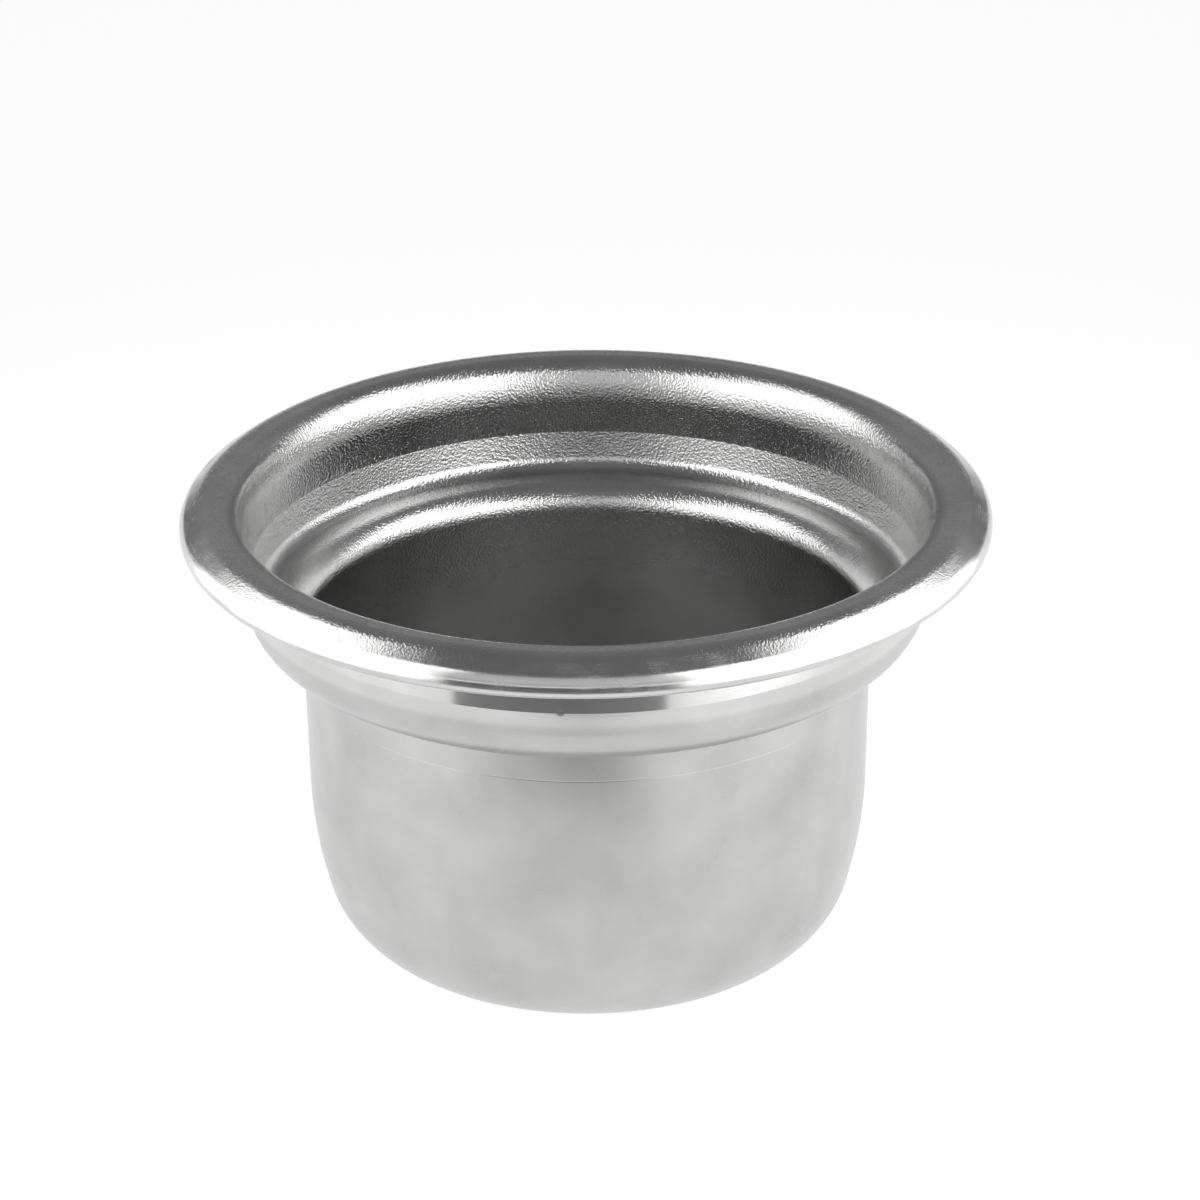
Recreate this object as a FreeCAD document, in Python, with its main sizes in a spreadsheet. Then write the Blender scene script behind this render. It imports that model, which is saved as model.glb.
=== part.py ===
import FreeCAD, Part
import math
import os

import Sketcher
from FreeCAD import Vector

# Espresso filter basket: one disc of stainless sheet, drawn into a stepped cup with a rolled rim.
# The frame has +Z up and its origin at the centre of the floor's underside.
# Sizes are in millimetres, on the face of the sheet that coffee and tamper touch. That face runs
# from the floor up the cup, out over the ledge, up the bowl and the collar, and over the rim to its
# lip. A bend is the radius on the hollow side of the sheet.

sizes = {
    # Sheet
    "sheet_thickness": 0.7,
    "overall_height": 41.6,
    # Rolled rim, by which the basket hangs in its holder
    "rim_diameter": 70.0,
    "lip_width": 0.5,
    "lip_drop": 0.4,
    "curl_drop": 1.3,
    "curl_bend": 0.15,
    "edge_drop": 1.5,
    "edge_bend": 0.6,
    "dome_width": 2.1,
    "dome_bend": 1.8,
    "crown_width": 2.6,
    "crest_bend": 1.0,
    # Collar, flared at the top to guide the tamper in
    "flare_width": 1.1,
    "flare_drop": 3.4,
    "flare_bend": 8.0,
    "collar_drop": 3.3,
    # Bowl-shaped shoulder between the collar and the cup
    "bowl_taper": 0.8,
    "bowl_drop": 5.2,
    "bowl_bend": 3.7,
    "ledge_width": 4.4,
    "ledge_bend": 0.5,
    # Cup
    "cup_taper": 0.4,
    "waist_height": 11.5,
    "waist_bend": 30.0,
    "foot_width": 2.5,
    "foot_bend": 7.2,
    # Strainer: a hole in the middle of the floor, and rings of six more holes each time
    "hole_diameter": 0.9,
    "hole_pitch": 3.0,
    "hole_margin": 3.0,
}


def less(start, *names):
    """The expression for a radius or height less each named size."""
    return " - ".join([start, *(f"Sizes.{name}" for name in names)])


# Each radius and height is worked out from the one beside it, from the rim inwards and down.
rimRadius = "Sizes.rim_diameter / 2"
lipRadius = less(rimRadius, "lip_width")
domeRadius = less(rimRadius, "dome_width")
crestRadius = less(domeRadius, "crown_width")
throatRadius = less(crestRadius, "flare_width")
bowlRadius = less(throatRadius, "bowl_taper")
mouthRadius = less(bowlRadius, "ledge_width")
waistRadius = less(mouthRadius, "cup_taper")
footRadius = less(waistRadius, "foot_width")
rimTop = "Sizes.overall_height"
edgeHeight = less(rimTop, "edge_drop")
curlHeight = less(edgeHeight, "curl_drop")
lipHeight = less(curlHeight, "lip_drop")
flareHeight = less(rimTop, "flare_drop")
seatHeight = less(flareHeight, "collar_drop")
ledgeHeight = less(seatHeight, "bowl_drop")

# The bowl's bend takes at most the part of the ledge that the sharper bend beside it leaves.
ledgeRoom = "(Sizes.ledge_width - Sizes.ledge_bend - Sizes.sheet_thickness)"
bowlReach = "(1 - Sizes.bowl_taper / Sizes.bowl_drop)"
bowlBend = f"min(Sizes.bowl_bend; {ledgeRoom} / {bowlReach})"

# The inside face from the floor to the lip, as the corners where its straight runs would meet.
# Each has a name, a radius, a height, the radius of its bend, and the side of the sheet that the
# bend's centre is on: 1 for the inside face, -1 for the outside face. A crease has no bend.
crease = None
corners = [
    ("foot", footRadius, "Sizes.sheet_thickness", "Sizes.foot_bend", 1),
    ("waist", waistRadius, "Sizes.waist_height", "Sizes.waist_bend", 1),
    ("mouth", mouthRadius, ledgeHeight, "Sizes.ledge_bend", -1),
    ("bowl", bowlRadius, ledgeHeight, bowlBend, 1),
    ("seat", throatRadius, seatHeight, crease, 1),
    ("flare", throatRadius, flareHeight, "Sizes.flare_bend", -1),
    ("crest", crestRadius, rimTop, "Sizes.crest_bend", -1),
    ("dome", domeRadius, rimTop, "Sizes.dome_bend", -1),
    ("edge", rimRadius, edgeHeight, "Sizes.edge_bend", -1),
    ("curl", rimRadius, curlHeight, "Sizes.curl_bend", -1),
]


def addSizes(doc):
    """Put the driving dimensions in a spreadsheet, each under its own name."""
    sheet = doc.addObject("Spreadsheet::Sheet", "Sizes")
    for row, (name, value) in enumerate(sizes.items(), start=1):
        sheet.set(f"A{row}", name)
        sheet.set(f"B{row}", str(value))
        sheet.setAlias(f"B{row}", name)
    doc.recompute()
    return sheet


def addSketch(body, name, role):
    """An empty sketch on the body's origin plane of the given role."""
    sketch = body.newObject("Sketcher::SketchObject", name)
    plane = next(item for item in body.Origin.OriginFeatures if item.Role == role)
    sketch.AttachmentSupport = [(plane, "")]
    sketch.MapMode = "FlatFace"
    return sketch


def valueOf(sketch, expression):
    """The number that an expression of the sizes comes to."""
    return float(sketch.evalExpression(expression))


def drive(sketch, name, kind, where, expression):
    """Add a named dimension to a sketch and bind it to the sizes."""
    index = sketch.addConstraint(Sketcher.Constraint(kind, *where, valueOf(sketch, expression)))
    sketch.renameConstraint(index, name)
    sketch.setExpression(f"Constraints.{name}", expression)


def join(sketch, kind, *ends):
    """Add a constraint that has no dimension, such as a tangent or a shared point."""
    sketch.addConstraint(Sketcher.Constraint(kind, *ends))


def unitFrom(start, end):
    """The direction from one point to another."""
    return (end - start).normalize()


def rightOf(direction):
    """The direction turned a quarter turn clockwise. It points from the inside face to the outside one."""
    return Vector(direction.y, -direction.x, 0)


def offsetCorner(before, corner, after, offset):
    """Where the two runs beside a corner meet on the face that lies the offset to their right."""
    into = unitFrom(before, corner)
    out = unitFrom(corner, after)
    return corner + (rightOf(into) + rightOf(out)) * (offset / (1 + into.dot(out)))


def bendAt(before, corner, after, radius, side):
    """The start, end and arc of the bend that rounds a corner."""
    into = unitFrom(before, corner)
    out = unitFrom(corner, after)
    reach = radius * math.tan(into.getAngle(out) / 2)
    start = corner - into * reach
    end = corner + out * reach
    centre = start - rightOf(into) * (radius * side)
    angles = [math.atan2(point.y - centre.y, point.x - centre.x) for point in (start, end)]
    if side < 0:
        angles.reverse()
    arc = Part.ArcOfCircle(Part.Circle(centre, Vector(0, 0, 1), radius), *angles)
    return start, end, arc


def faceBend(bend, side, face):
    """The expression for a bend's radius on one face. It is a sheet's thickness more on the far one."""
    isHollowSide = (side > 0) == (face == "inside")
    return bend if isHollowSide else f"{bend} + Sizes.sheet_thickness"


def drawFace(sketch, path, face):
    """Draw one face of the sheet as straight runs joined by tangent bends, each bend's radius bound."""
    runs = []
    bends = []
    runStart = path[0]
    for index, (name, radius, height, bend, side) in enumerate(corners, start=1):
        runEnd = nextStart = path[index]
        arcIndex = None
        if bend is not crease:
            size = valueOf(sketch, faceBend(bend, side, face))
            runEnd, nextStart, arc = bendAt(*path[index - 1 : index + 2], size, side)
            arcIndex = sketch.addGeometry(arc)
        runs.append(sketch.addGeometry(Part.LineSegment(runStart, runEnd)))
        bends.append(arcIndex)
        runStart = nextStart
    runs.append(sketch.addGeometry(Part.LineSegment(runStart, path[-1])))
    for index, (name, radius, height, bend, side) in enumerate(corners):
        if bend is crease:
            join(sketch, "Coincident", runs[index], 2, runs[index + 1], 1)
            continue
        bendStart, bendEnd = (1, 2) if side > 0 else (2, 1)
        join(sketch, "Tangent", runs[index], 2, bends[index], bendStart)
        join(sketch, "Tangent", bends[index], bendEnd, runs[index + 1], 1)
        drive(sketch, f"{face}_{name}_bend", "Radius", (bends[index],), faceBend(bend, side, face))
    return runs, bends


def placeCorners(sketch, path, runs):
    """Hold the inside face by the points where its straight runs would meet."""
    for index, (name, radius, height, bend, side) in enumerate(corners):
        corner = (runs[index], 2)
        if bend is not crease:
            point = sketch.addGeometry(Part.Point(path[index + 1]), True)
            join(sketch, "PointOnObject", point, 1, runs[index])
            join(sketch, "PointOnObject", point, 1, runs[index + 1])
            corner = (point, 1)
        drive(sketch, f"{name}_radius", "DistanceX", (-1, 1, *corner), radius)
        drive(sketch, f"{name}_height", "DistanceY", (-1, 1, *corner), height)


def keepThickness(sketch, inside, outside):
    """Hold the outside face one thickness from the inside one."""
    insideRuns, insideBends = inside
    outsideRuns, outsideBends = outside
    for index, (name, radius, height, bend, side) in enumerate(corners):
        if bend is crease:
            join(sketch, "Parallel", insideRuns[index], outsideRuns[index])
            join(sketch, "Parallel", insideRuns[index + 1], outsideRuns[index + 1])
        else:
            join(sketch, "Coincident", insideBends[index], 3, outsideBends[index], 3)
    join(sketch, "Parallel", insideRuns[-1], outsideRuns[-1])


def drawSection(sketch):
    """Draw the sheet's half section: its two faces, its edge on the axis and its cut edge at the lip."""
    places = [
        ("0", corners[0][2]),
        *((radius, height) for name, radius, height, bend, side in corners),
        (lipRadius, lipHeight),
    ]
    path = [Vector(valueOf(sketch, radius), valueOf(sketch, height), 0) for radius, height in places]
    thickness = valueOf(sketch, "Sizes.sheet_thickness")
    outsidePath = [
        path[0] + rightOf(unitFrom(path[0], path[1])) * thickness,
        *(offsetCorner(*path[index - 1 : index + 2], thickness) for index in range(1, len(path) - 1)),
        path[-1] + rightOf(unitFrom(path[-2], path[-1])) * thickness,
    ]
    inside = drawFace(sketch, path, "inside")
    outside = drawFace(sketch, outsidePath, "outside")
    insideRuns = inside[0]
    outsideRuns = outside[0]
    axisEdge = sketch.addGeometry(Part.LineSegment(outsidePath[0], path[0]))
    cutEdge = sketch.addGeometry(Part.LineSegment(path[-1], outsidePath[-1]))
    keepThickness(sketch, inside, outside)
    join(sketch, "Coincident", axisEdge, 1, -1, 1)
    join(sketch, "Coincident", axisEdge, 1, outsideRuns[0], 1)
    join(sketch, "Coincident", axisEdge, 2, insideRuns[0], 1)
    join(sketch, "Vertical", axisEdge)
    join(sketch, "Horizontal", insideRuns[0])
    join(sketch, "Coincident", cutEdge, 1, insideRuns[-1], 2)
    join(sketch, "Coincident", cutEdge, 2, outsideRuns[-1], 2)
    join(sketch, "Perpendicular", cutEdge, insideRuns[-1])
    placeCorners(sketch, path, insideRuns)
    drive(sketch, "lip_radius", "DistanceX", (-1, 1, insideRuns[-1], 2), lipRadius)
    drive(sketch, "lip_height", "DistanceY", (-1, 1, insideRuns[-1], 2), lipHeight)
    return insideRuns[0]


def addWall(body):
    """Turn the sheet's section about the upright axis. The flat floor's radius comes back too."""
    section = addSketch(body, "Section", "XZ_Plane")
    floorRun = drawSection(section)
    wall = body.newObject("PartDesign::Revolution", "Wall")
    wall.Profile = section
    wall.ReferenceAxis = (section, ["V_Axis"])
    wall.Angle = 360
    body.Document.recompute()
    return wall, section.Geometry[floorRun].EndPoint.x


def addHole(body, name, place):
    """Punch one strainer hole through the floor, at a distance from the middle."""
    sketch = addSketch(body, f"{name}Sketch", "XY_Plane")
    centre = Vector(valueOf(sketch, place), 0, 0)
    circle = sketch.addGeometry(Part.Circle(centre, Vector(0, 0, 1), sizes["hole_diameter"] / 2))
    join(sketch, "PointOnObject", circle, 3, -1)
    drive(sketch, "place", "DistanceX", (-1, 1, circle, 3), place)
    drive(sketch, "hole", "Diameter", (circle,), "Sizes.hole_diameter")
    pocket = body.newObject("PartDesign::Pocket", name)
    pocket.Profile = sketch
    pocket.Reversed = True
    pocket.setExpression("Length", "Sizes.sheet_thickness * 2")
    body.Document.recompute()
    return pocket


def addStrainer(body, ringCount):
    """Perforate the floor with rings of holes about a middle one."""
    addHole(body, "MiddleHole", "Sizes.hole_pitch * 0")
    for ring in range(1, ringCount + 1):
        hole = addHole(body, f"RingHole{ring}", f"Sizes.hole_pitch * {ring}")
        pattern = body.newObject("PartDesign::PolarPattern", f"HoleRing{ring}")
        pattern.Originals = [hole]
        pattern.Axis = (hole.Profile[0], ["N_Axis"])
        pattern.Angle = 360
        pattern.Occurrences = 6 * ring
        body.Tip = pattern
        body.Document.recompute()


def checkDocument(doc, body):
    """Stop if any object failed or the basket isn't one sound solid."""
    failed = [item.Name for item in doc.Objects if {"Invalid", "Error"} & set(item.State)]
    if failed:
        raise RuntimeError(f"These objects failed: {failed}")
    shape = body.Shape
    if shape.isNull() or not shape.isValid() or len(shape.Solids) != 1:
        raise RuntimeError("The basket isn't one sound solid")


def build():
    """Build the basket and write it out."""
    doc = FreeCAD.newDocument("FilterBasket")
    sheet = addSizes(doc)
    body = doc.addObject("PartDesign::Body", "Basket")
    body.Label = "filter_basket"
    wall, floorRadius = addWall(body)
    wallVolume = wall.Shape.Volume
    ringCount = int((floorRadius - sheet.hole_margin) / sheet.hole_pitch)
    addStrainer(body, ringCount)
    checkDocument(doc, body)
    holeVolume = math.pi * sheet.hole_diameter**2 / 4 * sheet.sheet_thickness
    holeCount = round((wallVolume - body.Shape.Volume) / holeVolume)
    print(f"wall {wallVolume:.1f} mm3, flat floor {floorRadius:.1f} mm in radius")
    print(f"holes {holeCount} of {1 + 3 * ringCount * (ringCount + 1)}")
    os.makedirs("parts", exist_ok=True)
    body.Shape.exportStep(f"parts/{body.Label}.step")


build()
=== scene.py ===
import bmesh
import bpy
import math
from mathutils import Matrix, Vector


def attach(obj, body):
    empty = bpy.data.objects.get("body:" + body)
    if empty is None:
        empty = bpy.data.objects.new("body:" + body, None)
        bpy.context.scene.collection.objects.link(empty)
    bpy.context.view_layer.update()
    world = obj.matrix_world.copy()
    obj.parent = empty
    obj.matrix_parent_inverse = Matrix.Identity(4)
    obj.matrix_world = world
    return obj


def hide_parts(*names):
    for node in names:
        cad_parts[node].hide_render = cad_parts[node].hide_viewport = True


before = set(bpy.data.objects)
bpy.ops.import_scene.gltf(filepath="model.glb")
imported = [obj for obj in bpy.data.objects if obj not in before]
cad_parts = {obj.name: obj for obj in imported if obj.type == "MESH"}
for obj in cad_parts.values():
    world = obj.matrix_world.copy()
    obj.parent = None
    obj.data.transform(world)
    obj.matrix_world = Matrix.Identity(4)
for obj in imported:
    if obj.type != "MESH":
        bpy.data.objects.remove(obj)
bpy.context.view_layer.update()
scene = bpy.context.scene
mm = 0.001  # every size below is in millimetres, as in the part's own source
weld = 1e-6  # in metres: points that are closer than this are one point

basket = {
    "thickness": 0.7,
    # The outside face lies one thickness from these corners, which are rounded afterwards. Each row
    # is radius, height, the bend on the hollow side, and 1 where the hollow side is the inside.
    "outside": [
        (21.1, 0.7, 7.2, 1),
        (23.6, 11.5, 30.0, 1),
        (24.0, 29.7, 0.5, -1),
        (28.4, 29.7, 3.7, 1),
        (29.2, 34.9, 0.0, 1),
        (29.2, 38.2, 8.0, -1),
        (30.3, 41.6, 1.0, -1),
        (32.9, 41.6, 1.8, -1),
        (35.0, 40.1, 0.6, -1),
        (35.0, 38.8, 0.15, -1),
    ],
    # The inside face as the photo shows it, with its own higher and rounder shoulder. Each row is
    # radius, height and the radius of that face's bend.
    "inside": [
        (21.1, 0.7, 7.2),
        (23.6, 11.5, 30.0),
        (24.0, 31.6, 2.55),
        (28.5, 31.65, 1.3),
        (29.2, 34.9, 0.0),
        (29.2, 38.9, 5.7),
        (30.3, 41.6, 1.9),
        (32.9, 41.6, 2.5),
        (35.0, 40.1, 1.3),
        (35.0, 38.8, 0.85),
    ],
    "lip": (34.5, 38.4),
    "bendSegments": 12,
    "turnSteps": 192,
    "sharpAngle": 35,
    "holeDiameter": 0.9,
    "holePitch": 3.0,
    "holeRings": 4,
    "holeSegments": 14,
}


def pathThrough(rows):
    # from the axis along the floor, through a face's corners, to the lip
    corners = [Vector(row[:2]) for row in rows]
    return [Vector((0.0, basket["thickness"]))] + corners + [Vector(basket["lip"])]


def sidesAt(path, index):
    into = (path[index] - path[index - 1]).normalized()
    out = (path[index + 1] - path[index]).normalized()
    return into, out


def rightOf(direction):
    return Vector((direction.y, -direction.x))


def insideCorners():
    # the inside face's corners, each with how far its bend reaches along both sides
    path = pathThrough(basket["inside"])
    points = []
    for index, row in enumerate(basket["inside"], start=1):
        into, out = sidesAt(path, index)
        points.append((path[index], row[2] * math.tan(into.angle(out) / 2)))
    return points, path[-1]


def outsideCorners():
    # the same for the outside face, one thickness to the right of its path
    thickness = basket["thickness"]
    path = pathThrough(basket["outside"])
    points = []
    for index, row in enumerate(basket["outside"], start=1):
        bend, side = row[2:]
        into, out = sidesAt(path, index)
        corner = path[index] + (rightOf(into) + rightOf(out)) * (thickness / (1 + into.dot(out)))
        size = bend + (thickness if side > 0 else 0.0)
        points.append((corner, size * math.tan(into.angle(out) / 2) if bend else 0.0))
    end = path[-1] + rightOf((path[-1] - path[-2]).normalized()) * thickness
    return points, end


def makeSection(mesh):
    # one open wire: up the inside and over to the lip, across the cut edge, and back underneath
    insidePoints, insideEnd = insideCorners()
    outsidePoints, outsideEnd = outsideCorners()
    flatRadius = insidePoints[0][0].x - insidePoints[0][1]
    floorStart = Vector((flatRadius, basket["thickness"]))
    floorEnd = Vector((flatRadius, 0.0))
    stops = [(floorStart, 0.0)] + insidePoints + [(insideEnd, 0.0), (outsideEnd, 0.0)]
    stops += list(reversed(outsidePoints)) + [(floorEnd, 0.0)]
    verts = [mesh.verts.new((point.x * mm, 0.0, point.y * mm)) for point, reach in stops]
    for first, second in zip(verts, verts[1:]):
        mesh.edges.new((first, second))
    for vert, (point, reach) in zip(verts, stops):
        if reach:
            bmesh.ops.bevel(
                mesh, geom=[vert], offset=reach * mm, offset_type="OFFSET", affect="VERTICES",
                segments=basket["bendSegments"], profile=0.5, material=-1, clamp_overlap=False,
            )
    return flatRadius


def holePlaces():
    # one hole in the middle, and six more in each ring than in the ring inside it
    places = [Vector((0.0, 0.0, 0.0))]
    for ring in range(1, basket["holeRings"] + 1):
        for step in range(6 * ring):
            turn = Matrix.Rotation(math.tau * step / (6 * ring), 3, "Z")
            places.append(turn @ Vector((basket["holePitch"] * ring * mm, 0.0, 0.0)))
    return places


def addFloor(mesh, flatRadius):
    # a flat fill round the holes on both faces, and each hole's wall between them
    thickness = basket["thickness"] * mm
    lowRims = []
    highRims = []
    for place in holePlaces():
        circle = bmesh.ops.create_circle(
            mesh, cap_ends=False, segments=basket["holeSegments"],
            radius=basket["holeDiameter"] / 2 * mm, matrix=Matrix.Translation(place),
        )["verts"]
        low = list({edge for vert in circle for edge in vert.link_edges})
        raised = bmesh.ops.extrude_edge_only(mesh, edges=low)["geom"]
        top = [item for item in raised if isinstance(item, bmesh.types.BMVert)]
        bmesh.ops.translate(mesh, verts=top, vec=(0.0, 0.0, thickness))
        lowRims += low
        highRims += [item for item in raised if isinstance(item, bmesh.types.BMEdge)]
    mesh.edges.ensure_lookup_table()
    near = 10 * weld
    for height, rims in ((0.0, lowRims), (thickness, highRims)):
        border = [
            edge for edge in mesh.edges
            if len(edge.link_faces) == 1 and edge not in rims
            and all(abs(vert.co.z - height) < near for vert in edge.verts)
            and all(abs(vert.co.to_2d().length - flatRadius * mm) < near for vert in edge.verts)
        ]
        bmesh.ops.triangle_fill(mesh, use_beauty=True, edges=border + rims)


def onCrease(edge):
    # the one corner without a bend, where the wall turns into the bowl, is sharp on both faces
    radius, height = next(row[:2] for row in basket["inside"] if not row[2])
    slack = 0.1
    for vert in edge.verts:
        beyond = vert.co.to_2d().length / mm - radius
        atHeight = abs(vert.co.z / mm - height) < slack
        if not atHeight or not -slack < beyond < basket["thickness"] + slack:
            return False
    return True


def markFinish(mesh):
    # how dull the face is, from 0 on the collar to 1 on the cup, where the inside of the cup is,
    # and where the drawn sheet keeps its peel
    dull = mesh.verts.layers.float.new("dull")
    inCup = mesh.verts.layers.float.new("inCup")
    peel = mesh.verts.layers.float.new("peel")
    peelEdge, smoothEdge = look["peelLean"]
    for vert in mesh.verts:
        height = vert.co.z / mm
        outward = vert.normal.dot(Vector((vert.co.x, vert.co.y, 0.0)).normalized())
        outer = outward > look["outerLean"] or vert.normal.z < look["underLean"]
        if outer and height < look["collarTop"]:
            vert[dull] = 0.0 if height > look["collarFoot"] else 1.0
        elif height < look["cupTop"]:
            vert[dull] = 1.0
            vert[inCup] = 1.0
        else:
            smoothed = (outward - peelEdge) / (smoothEdge - peelEdge)
            vert[dull] = look["crownDull"]
            vert[peel] = 1.0 - max(0.0, min(1.0, smoothed))


def makeBasket():
    mesh = bmesh.new()
    flatRadius = makeSection(mesh)
    bmesh.ops.spin(
        mesh, geom=mesh.verts[:] + mesh.edges[:], cent=(0, 0, 0), axis=(0, 0, 1), dvec=(0, 0, 0),
        angle=math.tau, steps=basket["turnSteps"], use_merge=True, use_duplicate=False,
    )
    bmesh.ops.remove_doubles(mesh, verts=mesh.verts, dist=weld)
    addFloor(mesh, flatRadius)
    bmesh.ops.remove_doubles(mesh, verts=mesh.verts, dist=weld)
    bmesh.ops.recalc_face_normals(mesh, faces=mesh.faces)
    for face in mesh.faces:
        face.smooth = True
    sharp = math.radians(basket["sharpAngle"])
    for edge in mesh.edges:
        edge.smooth = edge.calc_face_angle(0.0) < sharp and not onCrease(edge)
    openEdges = sum(1 for edge in mesh.edges if not edge.is_manifold)
    volume = round(mesh.calc_volume() / mm ** 3, 1)
    print("basket faces", len(mesh.faces), "open edges", openEdges, "volume mm3", volume)
    markFinish(mesh)
    data = bpy.data.meshes.new("basket")
    mesh.to_mesh(data)
    mesh.free()
    piece = bpy.data.objects.new("basket", data)
    scene.collection.objects.link(piece)
    return piece


# Heights and radii are places on the basket. A pair is where a soft step starts and where it ends.
look = {
    "steel": (0.60, 0.60, 0.595),
    "brightRoughness": 0.13,  # the collar's
    "dullRoughness": 0.29,  # the cup's
    "crownDull": 0.40,  # how far the crown is from bright to dull
    "collarTop": 38.0,
    "collarFoot": 34.7,
    "cupTop": 29.0,
    # painted shade: the inside of the cup is given a darker colour
    "paintedCupShade": 0.80,
    "cupRoughness": 0.12,
    # painted shade: the cup's outside body is given a darker colour than the collar
    "paintedBodyShade": 0.83,
    # how far a face leans: outwards or under to be on the outside, and outwards to lose its peel
    "outerLean": 0.1,
    "underLean": -0.3,
    "peelLean": (0.3, 0.8),
    "peelSize": 0.21,
    "brightPeel": 0.044,
    "dullPeel": 0.0012,
    "mottleSize": 6.0,
    "mottleColour": 0.44,
    "mottleRoughness": 0.12,
    "mottleOnBright": 0.6,  # its strength on the collar, against the cup's
    "streakRadius": 30.0,  # where the streaks have the length below
    "streakLength": 3.0,
    "streakWidth": 0.07,
    "streakDepth": 0.004,
    "streakShare": 0.4,  # how much of them shows away from the wear
    "wearSize": 2.6,
    "wearRoughness": 0.20,
    "wearStart": (38.3, 38.7),
    "wearEnd": (41.0, 41.35),
    "wearRadii": (32.0, 33.2),
    "wearPatches": (0.38, 0.72),
    "wearStreaks": (0.25, 0.80),
    "speckGap": 7.0,
    "speckSize": 0.13,
    "speckCore": 0.6,  # the share of a speck that is fully dark
    "speckShade": 0.35,
    # painted shade: a dark band on the cup just under the bowl's overhang
    "underBowlShadeHeights": (28.2, 28.5),
    "underBowlShadeRadii": (25.2, 25.0),
    "underBowlShadeLevel": 0.55,
    # turning lines near the foot, below the bowl and along the lip: height, width and depth
    "lines": ((1.6, 0.08, 0.006), (26.0, 0.09, 0.006), (38.6, 0.07, 0.03)),
    "lipRadii": (33.8, 34.1),
    # a small nick in the crease: place, size and depth
    "nick": ((-2.2, -29.82, 34.95), 0.40, 0.02),
}


def addNode(tree, kind, **settings):
    node = tree.nodes.new(kind)
    for name, value in settings.items():
        if name.startswith("in_"):
            node.inputs[name[3:].replace("_", " ")].default_value = value
        else:
            setattr(node, name, value)
    return node


def maths(tree, operation, first, second=0.0):
    node = addNode(tree, "ShaderNodeMath", operation=operation)
    for socket, value in zip(node.inputs, (first, second)):
        if isinstance(value, (int, float)):
            socket.default_value = value
        else:
            tree.links.new(value, socket)
    return node.outputs[0]


def product(tree, first, *others):
    for other in others:
        first = maths(tree, "MULTIPLY", first, other)
    return first


def spread(tree, value, low, high, newLow=0.0, newHigh=1.0):
    # a soft step from newLow to newHigh, while the value goes from low to high
    node = addNode(tree, "ShaderNodeMapRange", interpolation_type="SMOOTHSTEP")
    tree.links.new(value, node.inputs["Value"])
    limits = {"From Min": low, "From Max": high, "To Min": newLow, "To Max": newHigh}
    for name, number in limits.items():
        node.inputs[name].default_value = number
    return node.outputs["Result"]


def noise(tree, vector, size, detail):
    node = addNode(tree, "ShaderNodeTexNoise", in_Scale=1 / size, in_Detail=detail)
    tree.links.new(vector, node.inputs["Vector"])
    return node.outputs["Fac"]


def turnStreaks(tree, x, y, height, radius):
    # noise that is long round the axis and fine across it
    turnWise = addNode(tree, "ShaderNodeCombineXYZ")
    reach = look["streakRadius"] / look["streakLength"]
    fine = 1 / look["streakWidth"]
    safeRadius = maths(tree, "MAXIMUM", radius, 0.5)  # nothing is divided by 0 at the axis
    for index, axis in enumerate((x, y)):
        around = maths(tree, "DIVIDE", axis, safeRadius)
        tree.links.new(product(tree, around, reach), turnWise.inputs[index])
    tree.links.new(product(tree, height, fine), turnWise.inputs[2])
    streak = addNode(
        tree, "ShaderNodeTexNoise", noise_dimensions="4D", in_Scale=1.0, in_Detail=2.0,
    )
    tree.links.new(turnWise.outputs[0], streak.inputs["Vector"])
    tree.links.new(product(tree, radius, fine), streak.inputs["W"])
    return streak.outputs["Fac"]


def readPlaces(tree):
    # where on the basket a point is, as sockets that the rest of the material reads
    place = addNode(tree, "ShaderNodeTexCoord")
    inMm = addNode(tree, "ShaderNodeVectorMath", operation="SCALE")
    inMm.inputs["Scale"].default_value = 1 / mm
    tree.links.new(place.outputs["Object"], inMm.inputs[0])
    at = {"point": inMm.outputs["Vector"]}
    split = addNode(tree, "ShaderNodeSeparateXYZ")
    tree.links.new(at["point"], split.inputs[0])
    x, y, at["height"] = split.outputs
    square = maths(tree, "ADD", product(tree, x, x), product(tree, y, y))
    at["radius"] = maths(tree, "SQRT", square)
    for name in ("dull", "inCup", "peel"):
        at[name] = addNode(tree, "ShaderNodeAttribute", attribute_name=name).outputs["Fac"]
    notInCup = maths(tree, "SUBTRACT", 1.0, at["inCup"])
    at["outside"] = product(tree, spread(tree, at["dull"], look["crownDull"], 1.0), notInCup)
    at["streaks"] = turnStreaks(tree, x, y, at["height"], at["radius"])
    return at


def rimWear(tree, at):
    # handling wear sits on the rim's outer bend, in patches that are made of short streaks
    start = spread(tree, at["height"], *look["wearStart"])
    end = spread(tree, at["height"], *look["wearEnd"], 1.0, 0.0)
    across = spread(tree, at["radius"], *look["wearRadii"])
    patches = noise(tree, at["point"], look["wearSize"], detail=3.0)
    patches = spread(tree, patches, *look["wearPatches"])
    streaks = spread(tree, at["streaks"], *look["wearStreaks"])
    return product(tree, start, end, across, patches, streaks)


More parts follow.
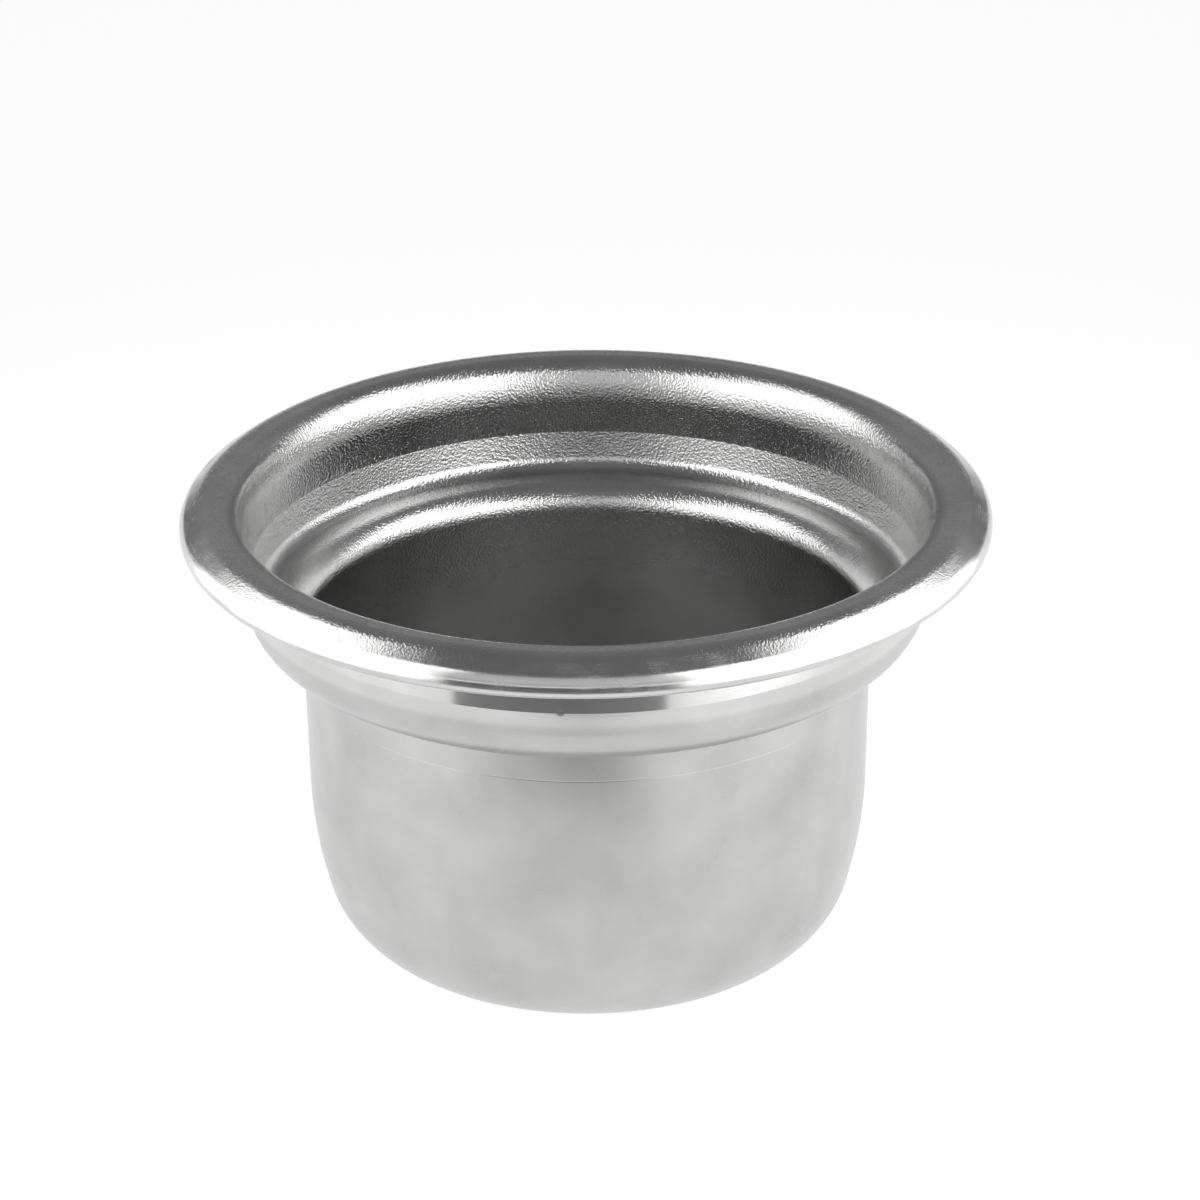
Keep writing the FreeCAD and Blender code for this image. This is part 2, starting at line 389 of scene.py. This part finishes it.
def makeRelief(tree, at, wear):
    # the surface's own height: peel and streaks, less the turning lines and the nick
    peelDepth = spread(tree, at["peel"], 0.0, 1.0, look["dullPeel"], look["brightPeel"])
    relief = product(tree, noise(tree, at["point"], look["peelSize"], detail=1.0), peelDepth)
    covered = maths(tree, "MAXIMUM", at["outside"], at["inCup"])
    bare = product(tree, maths(tree, "SUBTRACT", 1.0, covered), look["streakShare"])
    shown = maths(tree, "ADD", wear, bare)
    relief = maths(tree, "ADD", relief, product(tree, at["streaks"], look["streakDepth"], shown))
    onLip = spread(tree, at["radius"], *look["lipRadii"])
    onOutside = maths(tree, "MAXIMUM", at["outside"], onLip)
    for lineHeight, width, depth in look["lines"]:
        away = maths(tree, "ABSOLUTE", maths(tree, "SUBTRACT", at["height"], lineHeight))
        line = product(tree, spread(tree, away, 0.0, width, depth, 0.0), onOutside)
        relief = maths(tree, "SUBTRACT", relief, line)
    place, size, depth = look["nick"]
    gap = addNode(tree, "ShaderNodeVectorMath", operation="DISTANCE")
    gap.inputs[1].default_value = place
    tree.links.new(at["point"], gap.inputs[0])
    nick = spread(tree, gap.outputs["Value"], 0.0, size, depth, 0.0)
    return maths(tree, "SUBTRACT", relief, nick)


def makeMottle(tree, at):
    mottle = noise(tree, at["point"], look["mottleSize"], detail=8.0)
    centred = maths(tree, "SUBTRACT", mottle, 0.5)
    onBright = look["mottleOnBright"]
    strength = maths(tree, "ADD", product(tree, at["dull"], 1 - onBright), onBright)
    return product(tree, centred, strength)


def makeRoughness(tree, at, wear, mottle):
    bright, satin = look["brightRoughness"], look["dullRoughness"]
    roughness = spread(tree, at["dull"], 0.0, 1.0, bright, satin)
    added = ((mottle, "mottleRoughness"), (wear, "wearRoughness"), (at["inCup"], "cupRoughness"))
    for share, name in added:
        roughness = maths(tree, "ADD", roughness, product(tree, share, look[name]))
    return roughness


def makeShade(tree, at, mottle):
    # what the steel's colour is multiplied by: dark specks, the mottle, painted shade on the inside
    # of the cup and on the body, and a painted shade band on the cup close under the bowl
    specks = addNode(
        tree, "ShaderNodeTexVoronoi", in_Scale=1 / look["speckGap"], in_Randomness=1.0,
    )
    tree.links.new(at["point"], specks.inputs["Vector"])
    away = product(tree, specks.outputs["Distance"], look["speckGap"])
    size = look["speckSize"]
    shade = spread(tree, away, size * look["speckCore"], size, look["speckShade"], 1.0)
    blotches = maths(tree, "ADD", product(tree, mottle, look["mottleColour"]), 1.0)
    # painted shade: the inside of the cup and the outside body are darkened
    inside = spread(tree, at["inCup"], 0.0, 1.0, 1.0, look["paintedCupShade"])
    body = spread(tree, at["outside"], 0.0, 1.0, 1.0, look["paintedBodyShade"])
    # painted shade: a dark band on the cup close under the bowl
    underBowlHeight = spread(tree, at["height"], *look["underBowlShadeHeights"])
    underBowlRadius = spread(tree, at["radius"], *look["underBowlShadeRadii"])
    underBowlShade = product(tree, underBowlHeight, underBowlRadius, at["outside"])
    underBowlShaded = spread(tree, underBowlShade, 0.0, 1.0, 1.0, look["underBowlShadeLevel"])
    return product(tree, shade, blotches, inside, body, underBowlShaded)


def makeSteel():
    material = bpy.data.materials.new("satinSteel")
    material.use_nodes = True
    tree = material.node_tree
    shader = tree.nodes["Principled BSDF"]
    shader.inputs["Metallic"].default_value = 1.0
    at = readPlaces(tree)
    wear = rimWear(tree, at)
    mottle = makeMottle(tree, at)
    bump = addNode(tree, "ShaderNodeBump", in_Strength=1.0, in_Distance=mm)
    tree.links.new(makeRelief(tree, at, wear), bump.inputs["Height"])
    tree.links.new(bump.outputs["Normal"], shader.inputs["Normal"])
    tree.links.new(makeRoughness(tree, at, wear, mottle), shader.inputs["Roughness"])
    tint = addNode(tree, "ShaderNodeVectorMath", operation="SCALE")
    tint.inputs[0].default_value = look["steel"]
    tree.links.new(makeShade(tree, at, mottle), tint.inputs["Scale"])
    tree.links.new(tint.outputs["Vector"], shader.inputs["Base Color"])
    return material


view = {
    "elevation": 24.0,
    "distance": 466.0,
    "aimHeight": 37.2,
    "lens": 161.88,
    "sensorWidth": 36.0,
    "nearest": 10.0,
    "roll": -0.52,
    "shiftX": 0.01173,
    "shiftY": -0.05148,
}


def makeCamera():
    angle = math.radians(view["elevation"])
    aim = Vector((0.0, 0.0, view["aimHeight"] * mm))
    away = Vector((0.0, -math.cos(angle), math.sin(angle)))
    data = bpy.data.cameras.new("photoCamera")
    data.lens = view["lens"]
    data.sensor_width = view["sensorWidth"]
    data.shift_x = view["shiftX"]
    data.shift_y = view["shiftY"]
    data.clip_start = view["nearest"] * mm
    camera = bpy.data.objects.new("photoCamera", data)
    place = Matrix.Translation(aim + away * (view["distance"] * mm))
    facing = (-away).to_track_quat("-Z", "Y").to_matrix().to_4x4()
    roll = Matrix.Rotation(math.radians(view["roll"]), 4, "Z")
    camera.matrix_world = place @ facing @ roll
    scene.collection.objects.link(camera)
    scene.camera = camera


# The basket stands in the middle, at 0, 0, and the camera looks at it along +Y.
studio = {
    # the room's grey, each with the place above it, from 0 at the horizon to 1 overhead
    "sky": ((0.0, 0.16), (0.24, 0.20), (0.40, 0.34), (0.62, 0.22), (1.0, 0.16)),
    "floorSize": 3000.0,
    "floorColour": 0.2,
    "floorGlow": 0.90,
    # each upright soft box: its two lower corners, its height and its radiance
    "panels": {
        "leftFront": ((-70, -97, 0), (-112, -25, 0), 165, 1.8),
        "leftSide": ((-112, -25, 0), (-118, 62, 0), 225, 1.8),
        "rightFront": ((48, -110, 0), (108, -25, 0), 165, 2.0),
        "rightSide": ((108, -25, 0), (118, 62, 0), 225, 2.0),
        "front": ((-70, -97, 30), (48, -110, 30), 110, 0.40),
    },
    "card": ((-52, -66), (27, -66), (126, -320), (-240, -320)),
    "cardHeight": 0.5,
    "cardColour": 0.32,
    "mattRoughness": 0.9,
}


def addPanel(name, start, end, height, radiance):
    first = Vector(start) * mm
    across = Vector(end) * mm - first
    up = Vector((0.0, 0.0, height * mm))
    centre = first + across / 2 + up / 2
    side = across.normalized()
    facing = across.cross(up).normalized()
    if facing.dot(-centre) < 0:
        facing = -facing
    data = bpy.data.lights.new(name, "AREA")
    data.shape = "RECTANGLE"
    data.size = across.length
    data.size_y = up.length
    data.energy = radiance * math.pi * data.size * data.size_y
    lamp = bpy.data.objects.new(name, data)
    turn = Matrix((side, (-facing).cross(side), -facing)).transposed().to_4x4()
    lamp.matrix_world = Matrix.Translation(centre) @ turn
    lamp.visible_camera = False
    scene.collection.objects.link(lamp)


def addMatt(name, mesh, grey):
    # a matt grey surface of the studio, with its material's nodes
    data = bpy.data.meshes.new(name)
    mesh.to_mesh(data)
    mesh.free()
    surface = bpy.data.objects.new(name, data)
    scene.collection.objects.link(surface)
    material = bpy.data.materials.new(name)
    material.use_nodes = True
    shader = material.node_tree.nodes["Principled BSDF"]
    shader.inputs["Base Color"].default_value = (grey, grey, grey, 1.0)
    shader.inputs["Roughness"].default_value = studio["mattRoughness"]
    data.materials.append(material)
    return surface, material.node_tree


def makeFloor():
    # a pale floor that glows where a camera or mirror ray meets it and still takes the shadow
    mesh = bmesh.new()
    bmesh.ops.create_grid(mesh, x_segments=1, y_segments=1, size=studio["floorSize"] * mm)
    floor, tree = addMatt("floor", mesh, studio["floorColour"])
    shader = tree.nodes["Principled BSDF"]
    shader.inputs["Specular IOR Level"].default_value = 0.0
    shader.inputs["Emission Color"].default_value = (1.0, 1.0, 1.0, 1.0)
    rays = addNode(tree, "ShaderNodeLightPath").outputs
    seen = maths(tree, "MAXIMUM", rays["Is Camera Ray"], rays["Is Glossy Ray"])
    seen = maths(tree, "MAXIMUM", seen, rays["Is Transmission Ray"])
    glow = product(tree, seen, studio["floorGlow"])
    tree.links.new(glow, shader.inputs["Emission Strength"])


def makeCard():
    # a mid-grey card on the floor in front, outside the picture, which the collar reflects
    mesh = bmesh.new()
    height = studio["cardHeight"] * mm
    mesh.faces.new([mesh.verts.new((x * mm, y * mm, height)) for x, y in studio["card"]])
    card, tree = addMatt("darkCard", mesh, studio["cardColour"])
    card.visible_camera = False


def makeWorld():
    # a dim room, a little lighter in a band above the horizon
    world = bpy.data.worlds.new("studio")
    world.use_nodes = True
    tree = world.node_tree
    direction = addNode(tree, "ShaderNodeTexCoord")
    split = addNode(tree, "ShaderNodeSeparateXYZ")
    tree.links.new(direction.outputs["Generated"], split.inputs[0])
    ramp = addNode(tree, "ShaderNodeValToRGB")
    steps = ramp.color_ramp.elements
    while len(steps) < len(studio["sky"]):
        steps.new(0.5)
    for step, (place, level) in zip(steps, studio["sky"]):
        step.position = place
        step.color = (level, level, level, 1.0)
    background = tree.nodes["Background"]
    tree.links.new(split.outputs["Z"], ramp.inputs["Fac"])
    tree.links.new(ramp.outputs["Color"], background.inputs["Color"])
    background.inputs["Strength"].default_value = 1.0
    scene.world = world


makeCamera()
makeWorld()
makeFloor()
makeCard()
for name, row in studio["panels"].items():
    addPanel(name, *row)
print("camera, floor and lamps are set")

piece = makeBasket()
piece.data.materials.append(makeSteel())
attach(piece, "root")
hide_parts("filter_basket")
print("basket is made")

scene.view_settings.view_transform = "Standard"
